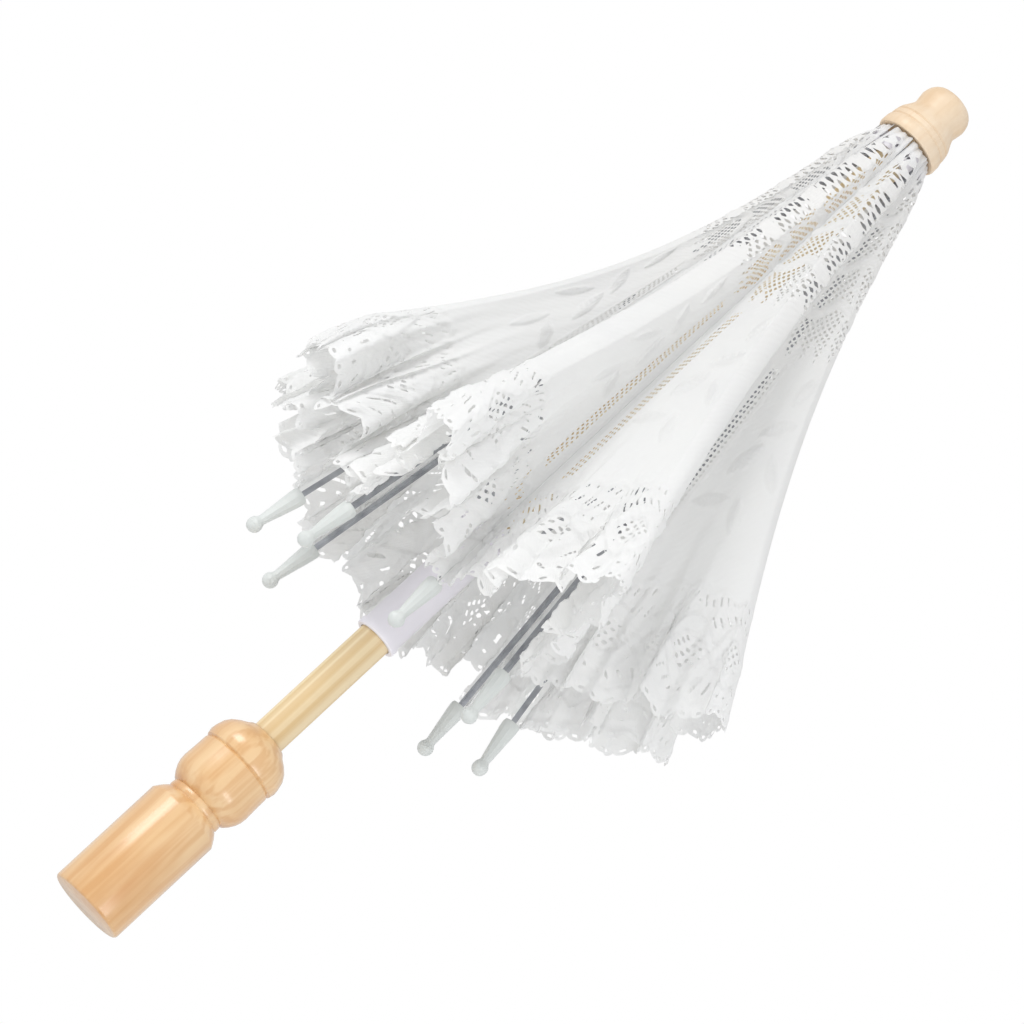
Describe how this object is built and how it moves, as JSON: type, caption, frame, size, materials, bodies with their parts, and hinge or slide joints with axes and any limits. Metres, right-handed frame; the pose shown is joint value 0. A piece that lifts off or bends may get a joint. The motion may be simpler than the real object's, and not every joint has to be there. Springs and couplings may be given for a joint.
{
  "type": "lace parasol",
  "caption": "Small closed lace parasol: turned maple handle and ferrule, plain shaft, sliding runner, steel ribs with ball tips, folded white lace canopy.",
  "frame": {"origin": "centre of the handle's flat end face", "axes": "+Z along the shaft from the handle to the ferrule; the first rib stands on the -Y side"},
  "size_m": [0.1932, 0.1932, 0.402],
  "materials": {
    "maple": "gloss varnish",
    "bamboo": "satin",
    "pale_maple": "semi-matt",
    "plastic": "gloss",
    "tip_plastic": "slightly translucent",
    "steel": "drawn",
    "lace": "cotton tape lace"
  },
  "bodies": {
    "shaft_body": {"handle": "maple", "shaft": "bamboo", "ferrule": "pale_maple", "crown": "plastic", "crown_wire": "steel"},
    "runner": {"runner": "plastic"},
    "rib_1": {"rib_1": "steel", "rib_tip_1": "tip_plastic"},
    "stretcher_1": {"stretcher_1": "steel"},
    "gore_left_1": {"gore_left_1": "lace"},
    "gore_right_1": {"gore_right_1": "lace"},
    "rib_2": {"rib_2": "steel", "rib_tip_2": "tip_plastic"},
    "stretcher_2": {"stretcher_2": "steel"},
    "gore_left_2": {"gore_left_2": "lace"},
    "gore_right_2": {"gore_right_2": "lace"},
    "rib_3": {"rib_3": "steel", "rib_tip_3": "tip_plastic"},
    "stretcher_3": {"stretcher_3": "steel"},
    "gore_left_3": {"gore_left_3": "lace"},
    "gore_right_3": {"gore_right_3": "lace"},
    "rib_4": {"rib_4": "steel", "rib_tip_4": "tip_plastic"},
    "stretcher_4": {"stretcher_4": "steel"},
    "gore_left_4": {"gore_left_4": "lace"},
    "gore_right_4": {"gore_right_4": "lace"},
    "rib_5": {"rib_5": "steel", "rib_tip_5": "tip_plastic"},
    "stretcher_5": {"stretcher_5": "steel"},
    "gore_left_5": {"gore_left_5": "lace"},
    "gore_right_5": {"gore_right_5": "lace"},
    "rib_6": {"rib_6": "steel", "rib_tip_6": "tip_plastic"},
    "stretcher_6": {"stretcher_6": "steel"},
    "gore_left_6": {"gore_left_6": "lace"},
    "gore_right_6": {"gore_right_6": "lace"},
    "rib_7": {"rib_7": "steel", "rib_tip_7": "tip_plastic"},
    "stretcher_7": {"stretcher_7": "steel"},
    "gore_left_7": {"gore_left_7": "lace"},
    "gore_right_7": {"gore_right_7": "lace"},
    "rib_8": {"rib_8": "steel", "rib_tip_8": "tip_plastic"},
    "stretcher_8": {"stretcher_8": "steel"},
    "gore_left_8": {"gore_left_8": "lace"},
    "gore_right_8": {"gore_right_8": "lace"}
  },
  "joints": [
    {"name": "runner_slide", "type": "slide", "parent": "shaft_body", "child": "runner", "axis": [0, 0, 1], "range_m": [0, 0.0806]},
    {"name": "rib_1_hinge", "type": "hinge", "parent": "shaft_body", "child": "rib_1", "pos_m": [0, -0.0095, 0.372], "axis": [-1, 0, 0], "range_deg": [0, 45.5]},
    {"name": "stretcher_1_hinge", "type": "hinge", "parent": "rib_1", "child": "stretcher_1", "pos_m": [0, -0.02652, 0.27549], "axis": [-1, 0, 0], "range_deg": [-90.5, 0]},
    {"name": "gore_left_1_fold", "type": "hinge", "parent": "rib_1", "child": "gore_left_1", "pos_m": [0, -0.01127, 0.37231], "axis": [0, 0.1736, 0.9848], "range_deg": [0, 66.96], "deforming": ["gore_left_1"]},
    {"name": "gore_right_1_fold", "type": "hinge", "parent": "gore_left_1", "child": "gore_right_1", "pos_m": [0.06204, -0.14979, 0.08317], "axis": [0.1747, -0.4217, -0.8897], "range_deg": [0, 150.19], "deforming": ["gore_right_1"]},
    {"name": "rib_2_hinge", "type": "hinge", "parent": "shaft_body", "child": "rib_2", "pos_m": [0.00672, -0.00672, 0.372], "axis": [-0.7071, -0.7071, 0], "range_deg": [0, 45.5]},
    {"name": "stretcher_2_hinge", "type": "hinge", "parent": "rib_2", "child": "stretcher_2", "pos_m": [0.01875, -0.01875, 0.27549], "axis": [-0.7071, -0.7071, 0], "range_deg": [-90.5, 0]},
    {"name": "gore_left_2_fold", "type": "hinge", "parent": "rib_2", "child": "gore_left_2", "pos_m": [0.00797, -0.00797, 0.37231], "axis": [-0.1228, 0.1228, 0.9848], "range_deg": [0, 66.96], "deforming": ["gore_left_2"]},
    {"name": "gore_right_2_fold", "type": "hinge", "parent": "gore_left_2", "child": "gore_right_2", "pos_m": [0.14979, -0.06204, 0.08317], "axis": [0.4217, -0.1747, -0.8897], "range_deg": [0, 150.19], "deforming": ["gore_right_2"]},
    {"name": "rib_3_hinge", "type": "hinge", "parent": "shaft_body", "child": "rib_3", "pos_m": [0.0095, 0, 0.372], "axis": [0, -1, 0], "range_deg": [0, 45.5]},
    {"name": "stretcher_3_hinge", "type": "hinge", "parent": "rib_3", "child": "stretcher_3", "pos_m": [0.02652, 0, 0.27549], "axis": [0, -1, 0], "range_deg": [-90.5, 0]},
    {"name": "gore_left_3_fold", "type": "hinge", "parent": "rib_3", "child": "gore_left_3", "pos_m": [0.01127, 0, 0.37231], "axis": [-0.1736, 0, 0.9848], "range_deg": [0, 66.96], "deforming": ["gore_left_3"]},
    {"name": "gore_right_3_fold", "type": "hinge", "parent": "gore_left_3", "child": "gore_right_3", "pos_m": [0.14979, 0.06204, 0.08317], "axis": [0.4217, 0.1747, -0.8897], "range_deg": [0, 150.19], "deforming": ["gore_right_3"]},
    {"name": "rib_4_hinge", "type": "hinge", "parent": "shaft_body", "child": "rib_4", "pos_m": [0.00672, 0.00672, 0.372], "axis": [0.7071, -0.7071, 0], "range_deg": [0, 45.5]},
    {"name": "stretcher_4_hinge", "type": "hinge", "parent": "rib_4", "child": "stretcher_4", "pos_m": [0.01875, 0.01875, 0.27549], "axis": [0.7071, -0.7071, 0], "range_deg": [-90.5, 0]},
    {"name": "gore_left_4_fold", "type": "hinge", "parent": "rib_4", "child": "gore_left_4", "pos_m": [0.00797, 0.00797, 0.37231], "axis": [-0.1228, -0.1228, 0.9848], "range_deg": [0, 66.96], "deforming": ["gore_left_4"]},
    {"name": "gore_right_4_fold", "type": "hinge", "parent": "gore_left_4", "child": "gore_right_4", "pos_m": [0.06204, 0.14979, 0.08317], "axis": [0.1747, 0.4217, -0.8897], "range_deg": [0, 150.19], "deforming": ["gore_right_4"]},
    {"name": "rib_5_hinge", "type": "hinge", "parent": "shaft_body", "child": "rib_5", "pos_m": [0, 0.0095, 0.372], "axis": [1, 0, 0], "range_deg": [0, 45.5]},
    {"name": "stretcher_5_hinge", "type": "hinge", "parent": "rib_5", "child": "stretcher_5", "pos_m": [0, 0.02652, 0.27549], "axis": [1, 0, 0], "range_deg": [-90.5, 0]},
    {"name": "gore_left_5_fold", "type": "hinge", "parent": "rib_5", "child": "gore_left_5", "pos_m": [0, 0.01127, 0.37231], "axis": [0, -0.1736, 0.9848], "range_deg": [0, 66.96], "deforming": ["gore_left_5"]},
    {"name": "gore_right_5_fold", "type": "hinge", "parent": "gore_left_5", "child": "gore_right_5", "pos_m": [-0.06204, 0.14979, 0.08317], "axis": [-0.1747, 0.4217, -0.8897], "range_deg": [0, 150.19], "deforming": ["gore_right_5"]},
    {"name": "rib_6_hinge", "type": "hinge", "parent": "shaft_body", "child": "rib_6", "pos_m": [-0.00672, 0.00672, 0.372], "axis": [0.7071, 0.7071, 0], "range_deg": [0, 45.5]},
    {"name": "stretcher_6_hinge", "type": "hinge", "parent": "rib_6", "child": "stretcher_6", "pos_m": [-0.01875, 0.01875, 0.27549], "axis": [0.7071, 0.7071, 0], "range_deg": [-90.5, 0]},
    {"name": "gore_left_6_fold", "type": "hinge", "parent": "rib_6", "child": "gore_left_6", "pos_m": [-0.00797, 0.00797, 0.37231], "axis": [0.1228, -0.1228, 0.9848], "range_deg": [0, 66.96], "deforming": ["gore_left_6"]},
    {"name": "gore_right_6_fold", "type": "hinge", "parent": "gore_left_6", "child": "gore_right_6", "pos_m": [-0.14979, 0.06204, 0.08317], "axis": [-0.4217, 0.1747, -0.8897], "range_deg": [0, 150.19], "deforming": ["gore_right_6"]},
    {"name": "rib_7_hinge", "type": "hinge", "parent": "shaft_body", "child": "rib_7", "pos_m": [-0.0095, 0, 0.372], "axis": [0, 1, 0], "range_deg": [0, 45.5]},
    {"name": "stretcher_7_hinge", "type": "hinge", "parent": "rib_7", "child": "stretcher_7", "pos_m": [-0.02652, 0, 0.27549], "axis": [0, 1, 0], "range_deg": [-90.5, 0]},
    {"name": "gore_left_7_fold", "type": "hinge", "parent": "rib_7", "child": "gore_left_7", "pos_m": [-0.01127, 0, 0.37231], "axis": [0.1736, 0, 0.9848], "range_deg": [0, 66.96], "deforming": ["gore_left_7"]},
    {"name": "gore_right_7_fold", "type": "hinge", "parent": "gore_left_7", "child": "gore_right_7", "pos_m": [-0.14979, -0.06204, 0.08317], "axis": [-0.4217, -0.1747, -0.8897], "range_deg": [0, 150.19], "deforming": ["gore_right_7"]},
    {"name": "rib_8_hinge", "type": "hinge", "parent": "shaft_body", "child": "rib_8", "pos_m": [-0.00672, -0.00672, 0.372], "axis": [-0.7071, 0.7071, 0], "range_deg": [0, 45.5]},
    {"name": "stretcher_8_hinge", "type": "hinge", "parent": "rib_8", "child": "stretcher_8", "pos_m": [-0.01875, -0.01875, 0.27549], "axis": [-0.7071, 0.7071, 0], "range_deg": [-90.5, 0]},
    {"name": "gore_left_8_fold", "type": "hinge", "parent": "rib_8", "child": "gore_left_8", "pos_m": [-0.00797, -0.00797, 0.37231], "axis": [0.1228, 0.1228, 0.9848], "range_deg": [0, 66.96], "deforming": ["gore_left_8"]},
    {"name": "gore_right_8_fold", "type": "hinge", "parent": "gore_left_8", "child": "gore_right_8", "pos_m": [-0.06204, -0.14979, 0.08317], "axis": [-0.1747, -0.4217, -0.8897], "range_deg": [0, 150.19], "deforming": ["gore_right_8"]}
  ],
  "couplings": [
    {"joint": "rib_1_hinge", "follows": "runner_slide", "rad_per_m": 9.7444},
    {"joint": "stretcher_1_hinge", "follows": "runner_slide", "rad_per_m": -19.489},
    {"joint": "gore_left_1_fold", "follows": "runner_slide", "rad_per_m": 14.391},
    {"joint": "gore_right_1_fold", "follows": "runner_slide", "rad_per_m": 32.413},
    {"joint": "rib_2_hinge", "follows": "runner_slide", "rad_per_m": 9.7444},
    {"joint": "stretcher_2_hinge", "follows": "runner_slide", "rad_per_m": -19.489},
    {"joint": "gore_left_2_fold", "follows": "runner_slide", "rad_per_m": 14.391},
    {"joint": "gore_right_2_fold", "follows": "runner_slide", "rad_per_m": 32.413},
    {"joint": "rib_3_hinge", "follows": "runner_slide", "rad_per_m": 9.7444},
    {"joint": "stretcher_3_hinge", "follows": "runner_slide", "rad_per_m": -19.489},
    {"joint": "gore_left_3_fold", "follows": "runner_slide", "rad_per_m": 14.391},
    {"joint": "gore_right_3_fold", "follows": "runner_slide", "rad_per_m": 32.413},
    {"joint": "rib_4_hinge", "follows": "runner_slide", "rad_per_m": 9.7444},
    {"joint": "stretcher_4_hinge", "follows": "runner_slide", "rad_per_m": -19.489},
    {"joint": "gore_left_4_fold", "follows": "runner_slide", "rad_per_m": 14.391},
    {"joint": "gore_right_4_fold", "follows": "runner_slide", "rad_per_m": 32.413},
    {"joint": "rib_5_hinge", "follows": "runner_slide", "rad_per_m": 9.7444},
    {"joint": "stretcher_5_hinge", "follows": "runner_slide", "rad_per_m": -19.489},
    {"joint": "gore_left_5_fold", "follows": "runner_slide", "rad_per_m": 14.391},
    {"joint": "gore_right_5_fold", "follows": "runner_slide", "rad_per_m": 32.413},
    {"joint": "rib_6_hinge", "follows": "runner_slide", "rad_per_m": 9.7444},
    {"joint": "stretcher_6_hinge", "follows": "runner_slide", "rad_per_m": -19.489},
    {"joint": "gore_left_6_fold", "follows": "runner_slide", "rad_per_m": 14.391},
    {"joint": "gore_right_6_fold", "follows": "runner_slide", "rad_per_m": 32.413},
    {"joint": "rib_7_hinge", "follows": "runner_slide", "rad_per_m": 9.7444},
    {"joint": "stretcher_7_hinge", "follows": "runner_slide", "rad_per_m": -19.489},
    {"joint": "gore_left_7_fold", "follows": "runner_slide", "rad_per_m": 14.391},
    {"joint": "gore_right_7_fold", "follows": "runner_slide", "rad_per_m": 32.413},
    {"joint": "rib_8_hinge", "follows": "runner_slide", "rad_per_m": 9.7444},
    {"joint": "stretcher_8_hinge", "follows": "runner_slide", "rad_per_m": -19.489},
    {"joint": "gore_left_8_fold", "follows": "runner_slide", "rad_per_m": 14.391},
    {"joint": "gore_right_8_fold", "follows": "runner_slide", "rad_per_m": 32.413}
  ]
}
